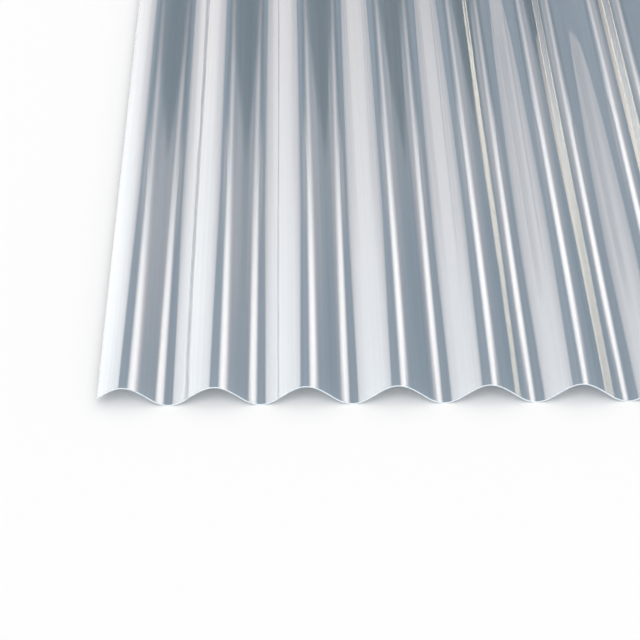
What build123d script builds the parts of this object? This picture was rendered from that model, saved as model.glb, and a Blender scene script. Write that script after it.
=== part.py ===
from build123d import *
import math
import os

# A corrugated sheet of rigid PVC: one extruded skin of even thickness, waved across its
# width, trimmed upright along both long edges and sawn square to its sale length.
# Millimetres. X runs across the waves, Y along them and Z up. The origin lies on the
# floor, under the middle of the sheet.

# The sizes that the sheet is sold by
pitch = 76.0  # from crest to crest
profile_height = 18.0  # from the lowest underside to the highest top
wall = 1.0  # thickness, square to the surface
sheet_width = 900.0  # from trimmed edge to trimmed edge
sheet_length = 2000.0  # from sawn end to sawn end

# Where the left edge is trimmed: part-way up a flank, this far before the first crest
edge_to_crest = 21.0

# How many steps a curve takes from a crest to the next trough
steps_per_flank = 8

# Worked out from the sizes above
left_edge = -sheet_width / 2
right_edge = sheet_width / 2
first_crest = left_edge + edge_to_crest
flank = pitch / 2
wave_rate = 2 * math.pi / pitch
mid_height = profile_height / 2
swing = (profile_height - wall) / 2  # of the middle of the skin, up and down


def tilt(x):
    """The angle at which the skin climbs towards +X, where its middle passes over x."""
    return math.atan(-swing * wave_rate * math.sin(wave_rate * (x - first_crest)))


def beside_middle(x, lift):
    """The point that lies lift above the middle of the skin at x, square to the skin."""
    height = mid_height + swing * math.cos(wave_rate * (x - first_crest))
    return (x - lift * math.sin(tilt(x)), height + lift * math.cos(tilt(x)))


def middle_below(x, lift):
    """Where the middle of the skin is when the point beside it, at lift, stands over x."""
    middle = x
    for _ in range(10):  # each pass shrinks what is left of the error about thirty times
        middle = x + lift * math.sin(tilt(middle))
    return middle


def flank_ends():
    """The two trimmed edges, with every crest and trough that lies clear of them."""
    clear = flank / steps_per_flank
    first = math.ceil((left_edge + clear - first_crest) / flank)
    last = math.floor((right_edge - clear - first_crest) / flank)
    turns = [first_crest + i * flank for i in range(first, last + 1)]
    return [left_edge, *turns, right_edge]


def face_curves(lift):
    """The wave along one face of the skin, as one curve for each flank."""
    middles = [middle_below(x, lift) for x in flank_ends()]
    curves = []
    for start, end in zip(middles, middles[1:]):
        step = (end - start) / steps_per_flank
        points = [beside_middle(start + i * step, lift) for i in range(steps_per_flank + 1)]
        directions = [(math.cos(tilt(x)), math.sin(tilt(x))) for x in (start, end)]
        curves.append(Spline(*points, tangents=directions, tangent_scalars=(1, 1)))
    return curves


def section():
    """The skin across its waves: two faces one wall apart, closed by upright trimmed edges."""
    top = face_curves(wall / 2)
    underside = face_curves(-wall / 2)
    left_cut = Line(top[0] @ 0, underside[0] @ 0)
    right_cut = Line(top[-1] @ 1, underside[-1] @ 1)
    return make_face([*top, right_cut, *underside, left_cut])


def corrugated_sheet():
    """The section drawn along the waves, from one sawn end to the other."""
    far_end = Plane.XZ.offset(-sheet_length / 2)
    return extrude(far_end * section(), sheet_length)


os.makedirs("parts", exist_ok=True)
export_step(corrugated_sheet(), "parts/corrugated_sheet.step")
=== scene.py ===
# %% [markdown]
# # A corrugated PVC sheet
# The object is one sheet of clear grey-blue PVC, 900 mm wide, 2 m long and 1 mm thick, with
# twelve even waves along its length. The CAD model already holds its size and its section.
# This script gives it a finer skin, its gloss and its tint, and lights it as in a studio.
# Everything is in metres: X runs across the waves, Y along them and Z up.

import math
import random

import bpy
from mathutils import Matrix, Vector


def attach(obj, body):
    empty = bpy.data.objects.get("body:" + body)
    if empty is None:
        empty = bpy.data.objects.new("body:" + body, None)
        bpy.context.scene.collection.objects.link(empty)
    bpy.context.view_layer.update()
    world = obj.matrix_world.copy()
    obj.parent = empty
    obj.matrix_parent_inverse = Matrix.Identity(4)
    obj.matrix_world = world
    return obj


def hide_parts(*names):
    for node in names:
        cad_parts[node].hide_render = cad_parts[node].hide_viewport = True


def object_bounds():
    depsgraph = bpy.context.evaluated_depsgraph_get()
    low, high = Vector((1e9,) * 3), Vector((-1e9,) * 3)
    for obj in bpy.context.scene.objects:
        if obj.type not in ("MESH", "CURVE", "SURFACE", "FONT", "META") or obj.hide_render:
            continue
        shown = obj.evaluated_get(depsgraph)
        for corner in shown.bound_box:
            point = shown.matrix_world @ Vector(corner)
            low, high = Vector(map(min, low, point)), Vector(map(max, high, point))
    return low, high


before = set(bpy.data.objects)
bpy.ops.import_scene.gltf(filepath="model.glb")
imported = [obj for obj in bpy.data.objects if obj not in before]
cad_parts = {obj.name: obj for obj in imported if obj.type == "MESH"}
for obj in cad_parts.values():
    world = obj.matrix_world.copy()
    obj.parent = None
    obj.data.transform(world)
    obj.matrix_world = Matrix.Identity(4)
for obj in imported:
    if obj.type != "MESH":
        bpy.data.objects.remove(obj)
cad_low, cad_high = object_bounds()
print("CAD box from", tuple(round(v, 4) for v in cad_low), "to", tuple(round(v, 4) for v in cad_high))

# %% [markdown]
# ## The wave
# The section is a true sine. In the photo the mirrored stripes lie where a sine has its
# slopes, and not where a wave of arcs and flats would have them. Both faces lie half a wall
# from the middle of the skin, measured square to it, so the wall is even on the flanks too.
# Shifting one sine up and down would be simpler, but then the flanks would come out thinner
# than the crests.

# %% The section's sizes
pitch = 0.076  # from crest to crest
flank = pitch / 2
profile_height = 0.018
wall = 0.001
edge_to_crest = 0.021  # from the left edge to the first crest
swing = (profile_height - wall) / 2  # of the middle of the skin, up and down
first_crest = cad_low.x + edge_to_crest
wave_rate = 2 * math.pi / pitch


def tilt(x):
    """The angle at which the skin climbs towards +X at x."""
    return math.atan(-swing * wave_rate * math.sin(wave_rate * (x - first_crest)))


def height_over(x, lift):
    """How high the skin's face is over x, where that face is lift away from the middle."""
    middle = x
    for _ in range(10):  # each pass shrinks what is left of the error about thirty times
        middle = x + lift * math.sin(tilt(middle))
    middle_height = wall / 2 + swing * (1 + math.cos(wave_rate * (middle - first_crest)))
    return middle_height + lift * math.cos(tilt(middle))


crest_top = height_over(first_crest, wall / 2)
trough_underside = height_over(first_crest + flank, -wall / 2)
print("crest", round(crest_top, 5), "trough", round(trough_underside, 5))

# %% [markdown]
# ## Forming lines
# In the photo faint lines run along the flanks, as forming rollers may leave them. A line
# shifts the skin by less than half a millimetre, but the flank is a few degrees steeper in
# it, so it mirrors another place. On two waves it is steep enough to mirror the next wave,
# and shows as a grey thread in a pale stripe. From the seventh wave on, the lines on the
# right are fainter. A bump texture could draw the lines. They are in the mesh, so they are
# part of the shape itself and not only of its shading.

# %% The forming lines
left_place, right_place = 0.308 * pitch, 0.309 * pitch  # from the crest, on either side of it

# Each kind of line by its half width, the softness of its edges and how many degrees it is
# steeper. Where that is 0, there is no line.
usual_left = (0.0012, 0.0012, 2.3)
usual_right = (0.0032, 0.0010, 4.2)
faint_right = (0.0032, 0.0012, 1.5)
first_faint_wave = 6  # where the first wave is number 0
special_left = {0: (0.0012, 0.0012, 0.0), 1: (0.0025, 0.0005, 9.8), 2: (0.0008, 0.0004, 12.0)}


def line_on(wave, on_left):
    """The forming line on one flank: place, half width, softness and degrees steeper."""
    if on_left:
        return (left_place, *special_left.get(wave, usual_left))
    return (right_place, *(usual_right if wave < first_faint_wave else faint_right))


def eased_step(offset, half, soft):
    """Climbs from -half to half across a line that is twice half wide."""
    ends = [(offset + half) / soft, (offset - half) / soft]
    areas = [end * math.erf(end) + math.exp(-end * end) / math.sqrt(math.pi) for end in ends]
    return 0.5 * soft * (areas[0] - areas[1])


def line_height(x, y):
    """How far the forming lines lift the skin at x, y, on top of the sine."""
    wave = math.floor((x - first_crest + flank) / pitch)
    from_crest = x - first_crest - wave * pitch
    place, half, soft, steeper = line_on(wave, from_crest < 0)
    # Along the sheet it wavers a little, in how steep it is and in where it lies
    steeper *= (1 + 0.04 * math.sin(17.0 * y + 1.3) + 0.03 * math.sin(41.0 * y + 0.4)
                + 0.02 * math.sin(103.0 * y))
    place += 0.0002 * math.sin(9.0 * y + 2.0) + 0.0001 * math.sin(53.0 * y)
    # The rest of the flank gives back what the line takes, so crest and trough stay in place
    share = abs(from_crest) / flank
    given_back = half * (2 * (share - math.sin(2 * math.pi * share) / (2 * math.pi)) - 1)
    taken = eased_step(abs(from_crest) - place, half, soft)
    return math.tan(math.radians(steeper)) * (given_back - taken)


strongest_line = first_crest + pitch - left_place
shifts = [line_height(strongest_line + step / 1e4, -0.5) for step in range(-60, 61)]
print("the strongest line shifts the skin by", round(max(map(abs, shifts)) * 1e6), "micrometres")

# %% [markdown]
# ## Where the skin has its points
# The points lie about 2 mm apart over most of a wave, and closer on the forming lines. An
# even, fine spacing would do too, but would need several times as many faces.

# %% Points across the sheet
corner_flat = 0.00012
even_steps = 17  # down each flank
edge_clearance = 0.001  # points on the waves keep this far from the trimmed edges


def flank_shares(wave, on_left):
    """Where one flank has its points, from 0 at the crest to 1 at the trough."""
    place, half, soft, _ = line_on(wave, on_left)
    beside = [half + soft * share for share in (-0.5, 0.5, 1.5)]
    at_line = [(place + side * b) / flank for b in beside for side in (-1, 1)] + [place / flank]
    reach = half + 2.2 * soft
    even = [n / even_steps for n in range(even_steps)]
    return sorted(at_line + [share for share in even if abs(share - place / flank) * flank > reach])


def places_across():
    """The points from edge to edge, over the waves of the whole sheet."""
    places = []
    for wave in range(-1, 14):  # one more on either side than the sheet reaches
        crest = first_crest + wave * pitch
        places += [crest + flank * share for share in flank_shares(wave, False)]
        places += [crest - flank * share for share in flank_shares(wave, True) if share > 0]
        places.append(crest + flank)
    inner = sorted(x for x in places if cad_low.x + edge_clearance < x < cad_high.x - edge_clearance)
    return [cad_low.x + corner_flat, *inner, cad_high.x - corner_flat]


xs = places_across()
steps_across = len(xs) - 1
smallest_step = min(b - a for a, b in zip(xs, xs[1:]))
print(steps_across, "steps across, the smallest", round(smallest_step * 1e3, 3), "mm")

# %% [markdown]
# ## The outline of the section
# The four corners get a flat of a tenth of a millimetre, because a saw never leaves an edge
# truly sharp, and a flat catches a thin line of light. A Bevel modifier would do it too, but
# here the outline is made of points anyway, and a few more draw the flats exactly.


# %% Outline
def section(inset):
    """The points clockwise round the near end's outline from its top left, drawn in by inset."""
    low, high = cad_low.x + inset, cad_high.x - inset
    lift = wall / 2 - inset
    top = [(x, height_over(x, lift)) for x in xs]
    under = [(x, height_over(x, -lift)) for x in reversed(xs)]
    right = [(high, height_over(high, lift) - corner_flat), (high, height_over(high, -lift) + corner_flat)]
    left = [(low, height_over(low, -lift) + corner_flat), (low, height_over(low, lift) - corner_flat)]
    return top + right + under + left


print(len(section(0.0)), "points round the section")

# %% [markdown]
# ## The skin
# A sheet like this could be a plane with a wave modifier and a thickness. Here its outline is
# repeated along the length, which keeps the wall and the edges exact. The sawn ends are a
# little uneven. The faces along the sheet get the glossy finish, and the cut ones the sawn
# finish. Every edge of a cut face is marked sharp, or its shading would bend the mirrored
# stripes beside it.

# %% Build the skin
steps_along = 80
end_step = 0.001  # the length of one more, short step at either end
saw_depth = 0.00006
glossy, sawn = 0, 1  # the order of the two materials


def rows_along():
    """Where the outline stands along the sheet, and its points there."""
    full, drawn_in = section(0.0), section(corner_flat)
    start, end = cad_low.y + corner_flat, cad_high.y - corner_flat
    inner = [start + (end - start) * i / steps_along for i in range(steps_along + 1)]
    inner.insert(1, start + end_step)
    inner.insert(-1, end - end_step)
    return [(cad_low.y, drawn_in), *[(y, full) for y in inner], (cad_high.y, drawn_in)]


def faces_round(row_count, count):
    """The faces from each outline to the next, and the material of each."""
    flats = {steps_across, steps_across + 1, steps_across + 2, count - 1, count - 2, count - 3}
    faces, kinds = [], []
    for n in range(row_count - 1):
        for i in range(count):
            j = (i + 1) % count
            faces.append((n * count + i, n * count + j, (n + 1) * count + j, (n + 1) * count + i))
            kinds.append(glossy if i not in flats and 0 < n < row_count - 2 else sawn)
    return faces, kinds


def end_faces(first_point, count):
    """The faces that close one end, over the points that start at first_point."""
    quads = [[i, count - 3 - i, count - 4 - i, i + 1] for i in range(steps_across)]
    quads.append([0, count - 1, count - 2, count - 3])
    quads.append([steps_across, steps_across + 3, steps_across + 2, steps_across + 1])
    return [[first_point + k for k in quad] for quad in quads]


def mark_cut_edges(mesh, kinds):
    """Marks each edge of a sawn face as sharp."""
    kinds_beside = {}
    for face, kind in zip(mesh.polygons, kinds):
        for key in face.edge_keys:
            kinds_beside.setdefault(key, set()).add(kind)
    for edge in mesh.edges:
        edge.use_edge_sharp = kinds_beside[edge.key] != {glossy}


def build_skin():
    rows = rows_along()
    count = len(rows[0][1])
    saw = random.Random(7)
    points = []
    for n, (y, outline) in enumerate(rows):
        inwards = {0: 1, len(rows) - 1: -1}.get(n, 0)  # only the two ends are uneven
        points += [(x, y + inwards * saw.uniform(0, saw_depth), z + line_height(x, y)) for x, z in outline]
    faces, kinds = faces_round(len(rows), count)
    near, far = end_faces(0, count), end_faces((len(rows) - 1) * count, count)
    faces += near + [quad[::-1] for quad in far]
    kinds += [sawn] * (len(near) + len(far))
    mesh = bpy.data.meshes.new("corrugated_sheet_skin")
    mesh.from_pydata(points, [], faces)
    mesh.validate()
    for face, kind in zip(mesh.polygons, kinds):
        face.material_index = kind
        face.use_smooth = kind == glossy
    mark_cut_edges(mesh, kinds)
    mesh.update()
    return mesh


sheet = bpy.data.objects.new("corrugated_sheet_skin", build_skin())
bpy.context.scene.collection.objects.link(sheet)
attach(sheet, "root")
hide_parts("corrugated_sheet")
triangles = sum(len(face.vertices) - 2 for face in sheet.data.polygons)
print("skin of", len(sheet.data.polygons), "faces, or", triangles, "triangles")

# %% [markdown]
# ## Node helpers
# Both finishes and all the lamps are node trees. They could each be wired by hand. Two short
# functions make a material and add a node with all that feeds it, so that each tree below
# reads as a list of what it holds.


# %% Helpers for node trees
def new_material(name):
    """An empty material: its node tree holds an output node and nothing else."""
    material = bpy.data.materials.new(name)
    material.use_nodes = True
    material.node_tree.nodes.clear()
    material.node_tree.nodes.new("ShaderNodeOutputMaterial")
    return material


def add(tree, kind, settings=(), values=(), links=()):
    """Adds a node to the tree, with its settings, its socket values and what feeds it."""
    node = tree.nodes.new(kind)
    for name, value in dict(settings).items():
        setattr(node, name, value)
    for name, value in dict(values).items():
        node.inputs[name].default_value = value
    for name, source in dict(links).items():
        tree.links.new(source, node.inputs[name])
    return node


def finish_with(tree, shader):
    """Leads the shader to the tree's output."""
    tree.links.new(shader.outputs[0], tree.nodes["Material Output"].inputs["Surface"])


print("helpers ready")

# %% [markdown]
# ## Grain
# Plastic drawn through a die carries fine streaks along its length, and sawn plastic carries
# short marks across the cut. Both are the same noise, stretched one way or the other, so one
# node group serves both finishes. A picture of scratches would tile and blur. The noise lies
# in the object's own metres, so it keeps its size wherever the sheet is used.

# %% Node group: stretched noise
grain = bpy.data.node_groups.new("stretched_grain", "ShaderNodeTree")
grain.interface.new_socket("Cycles per metre", in_out="INPUT", socket_type="NodeSocketVector")
grain.interface.new_socket("Detail", in_out="INPUT", socket_type="NodeSocketFloat")
grain.interface.new_socket("Value", in_out="OUTPUT", socket_type="NodeSocketFloat")
asked = add(grain, "NodeGroupInput")
coordinates = add(grain, "ShaderNodeTexCoord")
stretched = add(grain, "ShaderNodeVectorMath", {"operation": "MULTIPLY"},
                links={0: coordinates.outputs["Object"], 1: asked.outputs["Cycles per metre"]})
noise = add(grain, "ShaderNodeTexNoise", values={"Scale": 1.0, "Roughness": 0.55},
            links={"Vector": stretched.outputs[0], "Detail": asked.outputs["Detail"]})
add(grain, "NodeGroupOutput", links={"Value": noise.outputs[0]})


def grain_in(tree, cycles_per_metre, detail):
    """Adds the grain to a material and returns its value."""
    asked_for = {"Cycles per metre": cycles_per_metre, "Detail": detail}
    return add(tree, "ShaderNodeGroup", {"node_tree": grain}, asked_for).outputs["Value"]


def between(tree, value, low, high, to_low, to_high):
    """Turns the range from low to high into the one from to_low to to_high."""
    ends = {"From Min": low, "From Max": high, "To Min": to_low, "To Max": to_high}
    return add(tree, "ShaderNodeMapRange", {"clamp": True}, ends, {"Value": value}).outputs["Result"]


def mixed(tree, share, first, second):
    """One colour at share 0 and the other at 1. The first may also be another node's colour."""
    node = add(tree, "ShaderNodeMix", {"data_type": "RGBA"}, {7: second}, {0: share})
    if isinstance(first, tuple):
        node.inputs[6].default_value = first
    else:
        tree.links.new(first, node.inputs[6])
    return node.outputs[2]


print("grain group with", len(grain.nodes), "nodes")

# %% [markdown]
# ## The glossy skin
# Clear PVC with a grey-blue tint lets about a third of the light through. So the alpha is
# 0.7, and the floor shows faintly through the sheet. A glass shader would bend what lies
# behind it, which a 1 mm sheet hardly does, and would render far slower. Its surface is as
# smooth as the polished rollers. A coat layer adds the second, sharper mirror image that the
# back of a clear sheet gives. The streaks are a few micrometres high. They only show inside a
# mirrored lamp, as on the real sheet, and a few fine scratches come from handling.

# %% Clear PVC
darker_tint, lighter_tint = (0.325, 0.405, 0.475, 1), (0.355, 0.435, 0.505, 1)
streak_tint = (0.44, 0.52, 0.58, 1)

clear_pvc = new_material("clear_pvc")
tree = clear_pvc.node_tree
# The cycles per metre run across the waves, along them and upwards
streaks = grain_in(tree, (330.0, 1.1, 330.0), 3.0)
clouds = grain_in(tree, (14.0, 1.6, 14.0), 2.0)
scratches = between(tree, grain_in(tree, (1100.0, 34.0, 1100.0), 1.0), 0.74, 0.82, 0.0, 1.0)
handled = between(tree, grain_in(tree, (5.0, 4.0, 5.0), 1.0), 0.56, 0.66, 0.0, 1.0)
marks = add(tree, "ShaderNodeMath", {"operation": "MULTIPLY"}, links={0: scratches, 1: handled}).outputs[0]

clouded = mixed(tree, between(tree, clouds, 0.3, 0.7, 0.0, 1.0), darker_tint, lighter_tint)
tinted = mixed(tree, between(tree, streaks, 0.3, 0.7, 0.0, 0.45), clouded, streak_tint)
smoothness = between(tree, streaks, 0.3, 0.7, 0.04, 0.065)
roughness = add(tree, "ShaderNodeMath", {"operation": "MULTIPLY_ADD"},
                {1: 0.3}, {0: marks, 2: smoothness}).outputs[0]
height = add(tree, "ShaderNodeMath", {"operation": "MULTIPLY_ADD"},
             {1: -1.5}, {0: marks, 2: streaks}).outputs[0]
bump = add(tree, "ShaderNodeBump", values={"Strength": 1.0, "Distance": 0.000010}, links={"Height": height})
surface = add(tree, "ShaderNodeBsdfPrincipled",
              values={"Alpha": 0.7, "IOR": 1.54, "Coat Weight": 1.0, "Coat Roughness": 0.02, "Coat IOR": 1.5},
              links={"Base Color": tinted, "Roughness": roughness, "Normal": bump.outputs["Normal"]})
finish_with(tree, surface)
sheet.data.materials.append(clear_pvc)
print("clear PVC with", len(tree.nodes), "nodes")

# %% [markdown]
# ## The sawn edges
# A saw tears PVC a little and leaves it white and matt, with marks square to the sheet. The
# same colour with a higher roughness would look wet. So the edges are paler, opaque and
# grained across the wall.

# %% Sawn PVC
torn_grey, torn_white = (0.55, 0.63, 0.69, 1), (0.80, 0.85, 0.88, 1)

sawn_pvc = new_material("sawn_pvc")
tree = sawn_pvc.node_tree
teeth = grain_in(tree, (1300.0, 1300.0, 150.0), 2.0)
frost = grain_in(tree, (3800.0, 3800.0, 3800.0), 2.0)
torn = mixed(tree, between(tree, teeth, 0.35, 0.65, 0.0, 1.0), torn_grey, torn_white)
roughness = between(tree, frost, 0.3, 0.7, 0.45, 0.7)
bump = add(tree, "ShaderNodeBump", values={"Strength": 0.8, "Distance": 0.00003}, links={"Height": teeth})
surface = add(tree, "ShaderNodeBsdfPrincipled", values={"IOR": 1.54},
              links={"Base Color": torn, "Roughness": roughness, "Normal": bump.outputs["Normal"]})
finish_with(tree, surface)
sheet.data.materials.append(sawn_pvc)
print("sawn PVC with", len(tree.nodes), "nodes")

# %% [markdown]
# ## Camera
# The photograph looks down on the near end at about 31 degrees, from some 2.4 m away and with
# a long lens, so the waves hardly close in with distance. A camera could be aimed with a Track
# To constraint. Here its axes are worked out from three angles, because the picture is also
# turned by a fraction of a degree.

# %% Camera
camera_data = bpy.data.cameras.new("camera")
camera_data.sensor_width = 36.0
camera_data.lens = 155.14
camera_data.clip_start, camera_data.clip_end = 0.1, 60.0
camera = bpy.data.objects.new("camera", camera_data)
bpy.context.scene.collection.objects.link(camera)
bpy.context.scene.camera = camera

camera_place = (-0.285, -2.923, 1.225)
heading, looking_down, roll = (math.radians(angle) for angle in (0.58, 30.74, -0.23))
level_share = math.cos(looking_down)
ahead = Vector((math.sin(heading) * level_share, math.cos(heading) * level_share, -math.sin(looking_down)))
level_right = ahead.cross(Vector((0, 0, 1))).normalized()
level_up = level_right.cross(ahead)
right = level_right * math.cos(roll) + level_up * math.sin(roll)
up = level_up * math.cos(roll) - level_right * math.sin(roll)
aim = Matrix((right, up, -ahead)).transposed().to_4x4()
camera.matrix_world = Matrix.Translation(camera_place) @ aim
bpy.context.scene.view_settings.view_transform = "Standard"
print("camera looks along", tuple(round(v, 3) for v in ahead))

# %% [markdown]
# ## Floor and daylight
# The photo shows the sheet on pure white. So it lies on a wide white paper floor, in even
# white light from all round. A lamp close by would leave the paper grey at its far sides, so
# the world gives most of the light. A wide, low sun stands on the camera's side, a little to
# the left. It reaches in under the near end's waves, and puts the sheet's shadow behind it.
# Together they are about as bright as 1, where a colour renders as it is written. To the
# camera alone the world is a little brighter, and as white as the paper.

# %% World, sun and floor
daylight = 0.72
world = bpy.data.worlds.new("studio")
bpy.context.scene.world = world
world.use_nodes = True
tree = world.node_tree
path = add(tree, "ShaderNodeLightPath")
strength = add(tree, "ShaderNodeMath", {"operation": "MULTIPLY_ADD"},
               {1: 1 - daylight, 2: daylight}, {0: path.outputs["Is Camera Ray"]})
tree.nodes["Background"].inputs["Color"].default_value = (1, 1, 1, 1)
tree.links.new(strength.outputs[0], tree.nodes["Background"].inputs["Strength"])

sun_data = bpy.data.lights.new("soft_sun", "SUN")
sun_data.energy = 1.72
sun_data.angle = math.radians(70)
sun = bpy.data.objects.new("soft_sun", sun_data)
sun.rotation_euler = (math.radians(56), math.radians(-12), 0)
sun.visible_glossy = False
bpy.context.scene.collection.objects.link(sun)

floor_reach = 30.0
floor_corners = [(floor_reach * x, floor_reach * y, 0) for x, y in ((-1, -1), (1, -1), (1, 1), (-1, 1))]
floor_mesh = bpy.data.meshes.new("paper_floor")
floor_mesh.from_pydata(floor_corners, [], [(0, 1, 2, 3)])
floor = bpy.data.objects.new("paper_floor", floor_mesh)
bpy.context.scene.collection.objects.link(floor)
paper = new_material("white_paper")
tree = paper.node_tree
matte = add(tree, "ShaderNodeBsdfDiffuse", values={"Color": (0.97, 0.97, 0.97, 1), "Roughness": 0.0})
finish_with(tree, matte)
floor_mesh.materials.append(paper)
print("floor", 2 * floor_reach, "m wide")

# %% [markdown]
# ## What the sheet mirrors
# Most of what the eye sees of glossy PVC is the studio in it. Long bright and dark stripes
# run down each wave, because a wave mirrors the same lamp at the same slope all along. Area
# lamps would do it, but their brightness is even, and the real ones fade towards their
# edges. So each lamp is a grid of points that carries its own brightness, and only mirrored
# rays see it: it neither shows in the picture nor lights the paper. Most of them have a twin
# at the opposite side, turned by half a turn, so the sheet shines from the back as well.

# %% A lamp made of points
shine = new_material("studio_light")
tree = shine.node_tree
stored = add(tree, "ShaderNodeAttribute", {"attribute_name": "light"})
lit = add(tree, "ShaderNodeEmission", values={"Strength": 1.0}, links={"Color": stored.outputs["Color"]})
finish_with(tree, lit)
shine.cycles.emission_sampling = "NONE"


def ramp(value, start, end):
    """Rises smoothly from 0 at start to 1 at end, and stays level outside that."""
    share = min(max((value - start) / (end - start), 0.0), 1.0)
    return share * share * (3 - 2 * share)


def blend(a, b, share):
    return tuple(p + (q - p) * share for p, q in zip(a, b))


def spread(start, end, count):
    return [start + (end - start) * i / count for i in range(count + 1)]


def lit_surface(name, rows, light, finish=shine):
    """A grid of points seen only in reflections, each as bright as light(point) says."""
    across = len(rows[0])
    points = [point for row in rows for point in row]
    faces = [(r * across + c, r * across + c + 1, (r + 1) * across + c + 1, (r + 1) * across + c)
             for r in range(len(rows) - 1) for c in range(across - 1)]
    mesh = bpy.data.meshes.new(name)
    mesh.from_pydata(points, [], faces)
    values = mesh.attributes.new("light", "FLOAT_COLOR", "POINT")
    for item, point in zip(values.data, points):
        item.color = (*light(*point), 1)
    mesh.materials.append(finish)
    lamp = bpy.data.objects.new(name, mesh)
    bpy.context.scene.collection.objects.link(lamp)
    lamp.visible_camera = lamp.visible_diffuse = lamp.visible_transmission = False
    lamp.visible_shadow = lamp.visible_volume_scatter = False
    print(name, len(faces), "faces")


def lit_pair(name, rows, light):
    """A lamp, and its twin turned by half a turn about the sheet's middle."""
    lit_surface(name, rows, light)
    twin_rows = [[(-x, -y, z) for x, y, z in row] for row in rows]
    lit_surface(name + "_twin", twin_rows, lambda x, y, z: light(-x, -y, z))


print("lamp material with", len(tree.nodes), "nodes")

# %% [markdown]
# ## The studio's dark walls
# Between the lamps the waves mirror a dark studio, which gives them their deep grey-blue
# stripes. A black world would do it too, but would take the light from the paper. So a dome
# that only reflections see stands round the sheet. Straight ahead it is dark. Further right
# it is paler, with a mauve glow, and then blue. It has a pale ceiling, and a strip of light
# on either side for a view across the waves. Its back half repeats the front, turned by half
# a turn.

# %% Dark dome
dome_reach = 8.0
dark_ahead, paler_right, blue_right = (0.26, 0.27, 0.33), (0.375, 0.385, 0.41), (0.23, 0.30, 0.38)
side_grey, mauve_colour = (0.40, 0.42, 0.45), (1.0, 0.72, 0.68)


def dome_colour(turn, climb):
    """The walls' light. turn is the compass direction from +Y towards +X, climb the height angle."""
    if abs(turn) > 90:
        turn -= math.copysign(180, turn)
    colour = blend(dark_ahead, paler_right, ramp(turn, 6, 20))
    colour = blend(colour, blue_right, ramp(turn, 26, 35))
    side = ramp(abs(turn), 56, 68)
    colour = blend(colour, side_grey, side)
    mauve = 0.46 * ramp(turn, 16, 24) * (1 - 0.85 * ramp(turn, 22, 37))
    mauve *= ramp(climb, 12.5, 15.5) * (1 - ramp(climb, 45, 55))
    side_strip = 3.5 * side * ramp(climb, 20, 27) * (1 - ramp(climb, 33, 45))
    ceiling = 0.8 * ramp(climb, 45, 75)
    return tuple(part + mauve * hue + ceiling + side_strip for part, hue in zip(colour, mauve_colour))


def direction_of(x, y, z):
    return math.degrees(math.atan2(x, y)), math.degrees(math.atan2(z, math.hypot(x, y)))


def dome_point(turn, climb):
    turn, climb = math.radians(turn), math.radians(climb)
    ring = dome_reach * math.cos(climb)
    return (ring * math.sin(turn), ring * math.cos(turn), dome_reach * math.sin(climb))


turns, climbs = spread(-180.0, 180.0, 72), spread(0.0, 90.0, 36)
dome_rows = [[dome_point(turn, climb) for turn in turns] for climb in climbs]
lit_surface("dark_dome", dome_rows, lambda x, y, z: dome_colour(*direction_of(x, y, z)))

# %% [markdown]
# ## The big softbox on the left
# It stands just past the far end, and gives the broad pale stripe on the flanks that face
# left. Its upper right corner is cut off, as on an eight-sided softbox. It is dimmer towards
# its right side and round its rim, and two seams in its cloth show as darker lines in the
# stripes further right.

# %% Softbox
softbox_y, softbox_bottom, softbox_top = 1.05, 0.12, 1.9
softbox_side = -0.526  # where its right side stands
corner_height, corner_lean = 0.914, 1.53  # above that height its side leans to the left
rim_width = 0.13
seam_width, seam_depth = 0.012, 0.28
seams = (((-0.653, 0.445), (-0.867, 0.586)), ((-0.744, 0.399), (-0.964, 0.525)))  # each from x, z to x, z


def softbox_limit(z):
    """Where its right side stands at that height."""
    return softbox_side - max(0.0, z - corner_height) * corner_lean


def near_seam(x, z, start, end):
    """1 on the line from start to end, falling to 0 beside it and past its ends."""
    along = Vector((end[0] - start[0], end[1] - start[1]))
    offset = Vector((x - start[0], z - start[1]))
    run = offset.dot(along) / along.length
    beside = abs(offset.x * along.y - offset.y * along.x) / along.length
    on_line = 1 - ramp(beside, seam_width, 2 * seam_width)
    return on_line * ramp(run, -0.2, -0.1) * (1 - ramp(run - along.length, 0.0, 0.15))


def softbox_light(x, y, z):
    inward = softbox_side - x
    level = min(1.2 + 2.3 * inward + (z - 0.25) * ramp(inward, 0.0, 0.6), 3.5)
    from_rim = min(inward, (softbox_limit(z) - x) / math.hypot(1, corner_lean))
    rim = 0.86 - 0.24 * ramp(z, 0.92, 1.08)
    level *= rim + (1 - rim) * ramp(from_rim, 0.0, rim_width)
    for seam in seams:
        level *= 1 - seam_depth * near_seam(x, z, *seam)
    tint = blend((1.03, 1.0, 0.98), (1.13, 1.0, 0.96), ramp(x, -1.4, -0.6))
    return tuple(level * part for part in tint)


from_side = [0.0, 0.01, 0.02, 0.03, 0.045, 0.06, 0.08, 0.1]  # close together at the rim
from_side += spread(0.12, 0.5, 48) + [0.6, 0.75, 0.9, 1.2, 1.6, 2.0]
heights = spread(softbox_bottom, 0.7, 72) + spread(0.73, softbox_top, 39)  # and at the seams
softbox_rows = [[(softbox_limit(z) - inward, softbox_y, z) for inward in from_side] for z in heights]
lit_pair("left_softbox", softbox_rows, softbox_light)

# %% [markdown]
# ## The strip lamp on the right
# Each flank that faces right mirrors a strip lamp twice: once above its steepest place and
# once below. These are the two thin white lines on every wave. The lamp is brighter and
# wider at its top. Below its bend it runs down to the left.
#
# The lamp's grid hides the dome behind it, so the dome's light is added to it. That light
# ends in a dark foot with a sloping top, which deepens the dark stripes in the far part of
# the picture. Above the foot's left end the wall has a warm glow.

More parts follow.
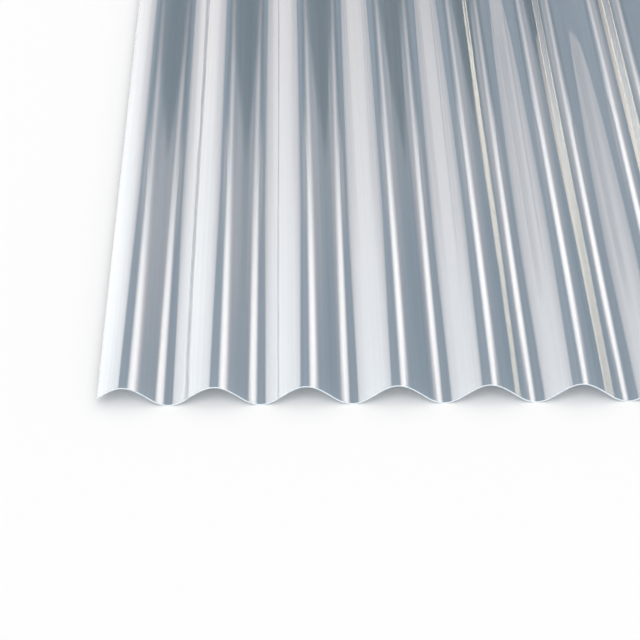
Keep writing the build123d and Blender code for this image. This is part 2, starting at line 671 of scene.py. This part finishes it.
# %% Strip lamp
strip_y = 2.5
strip_x, bend_height = 1.034, 1.5  # where its middle stands at the bend, and how high the bend is
upper_lean, lower_lean = 0.05, 1.05  # how far to the right it goes for each metre up
strip_level = 4.3
faint_tint, full_tint = (1.3, 0.97, 0.84), (1.08, 1.0, 0.95)
grid_left, grid_right, grid_top = -0.32, 2.38, 2.7
foot_slope, foot_height, foot_fade = 0.765, 1.368, 0.126
glow_colour = (0.68, 0.44, 0.32)


def wall_light(x, y, z):
    """The dome's light that the lamp's grid hides, with the dark foot and the warm glow."""
    inside = ramp(x, grid_left, grid_left + 0.15)
    shaded = inside * (1 - ramp(z + foot_slope * x, foot_height, foot_height + foot_fade))
    glow = inside * (1 - ramp(x, 0.0, 0.3)) * ramp(z, 1.5, 1.58) * (1 - ramp(z, 1.64, 1.84))
    dome = dome_colour(*direction_of(x, y, z))
    return tuple(part * (1 - shaded) + glow * warm for part, warm in zip(dome, glow_colour))


def strip_light(x, y, z):
    lean = upper_lean if z > bend_height else lower_lean
    across = (x - strip_x - lean * (z - bend_height)) / math.hypot(1, lean)
    high, above = ramp(z, 1.3, 1.6), ramp(z, 1.42, 1.56)
    inner_width, outer_width = 0.5 + 0.18 * above, 0.58 - 0.067 * high
    beyond = (-across - 0.25 * high) / inner_width if across < 0 else across / outer_width
    level = strip_level * ramp(z, 0.88, 1.68) * (1 - ramp(beyond, 0.0, 1.0))
    tint = blend(faint_tint, full_tint, ramp(level, 0.0, 2.0))
    return tuple(level * part + behind for part, behind in zip(tint, wall_light(x, y, z)))


strip_xs, strip_zs = spread(grid_left, grid_right, 108), spread(0.0, grid_top, 90)
strip_rows = [[(x, strip_y, z) for x in strip_xs] for z in strip_zs]
lit_pair("right_strip", strip_rows, strip_light)

# %% [markdown]
# ## The low card on the right
# A warm card stands low, to the right of the far end. The steepest flanks of the waves
# further right mirror it, low over the floor, which gives them a thin beige line. A lamp
# would be too strong: a card only sends back a part of the light.

# %% Low card
card_left, card_right = 0.6, 1.6
card_colour = (2.26, 1.93, 1.62)


def card_top(x):
    """How high the card is at x. Its top climbs to the right, and falls off at its left end."""
    return 0.134 + 0.0686 * x - 0.5 * max(0.0, 0.64 - x)


def card_light(x, y, z):
    level = min(0.41 + 2.3 * (x - 0.67), 0.41 + 0.6 * x)
    return tuple(part * level for part in card_colour)


card_xs = spread(card_left, card_right, 25)
card_rows = [[(x, softbox_y, card_top(x) * share) for x in card_xs] for share in (0.0, 1.0)]
lit_pair("low_card", card_rows, card_light)

# %% [markdown]
# ## The card that is mirrored twice
# Where a flank mirrors the next wave, the light has been mirrored twice. In the photo it is
# warm there, as from a second card, which is not to be seen in any first reflection. So this
# card is made to be seen only by rays that have been mirrored before: all others pass through.

# %% Twice-mirrored card
twice = new_material("twice_mirrored")
tree = twice.node_tree
path = add(tree, "ShaderNodeLightPath")
mirrored_before = add(tree, "ShaderNodeMath", {"operation": "GREATER_THAN"},
                      {1: 1.5}, {0: path.outputs["Ray Depth"]})
see_through = add(tree, "ShaderNodeBsdfTransparent")
warm = add(tree, "ShaderNodeEmission", values={"Color": (3.6, 3.2, 2.6, 1), "Strength": 1.0})
either = add(tree, "ShaderNodeMixShader",
             links={0: mirrored_before.outputs[0], 1: see_through.outputs[0], 2: warm.outputs[0]})
finish_with(tree, either)
twice.cycles.emission_sampling = "NONE"
twice_rows = [[(x, 2.3, z) for x in (0.8, 2.4)] for z in (0.3, 2.0)]
lit_surface("twice_card", twice_rows, lambda x, y, z: (1, 1, 1), twice)
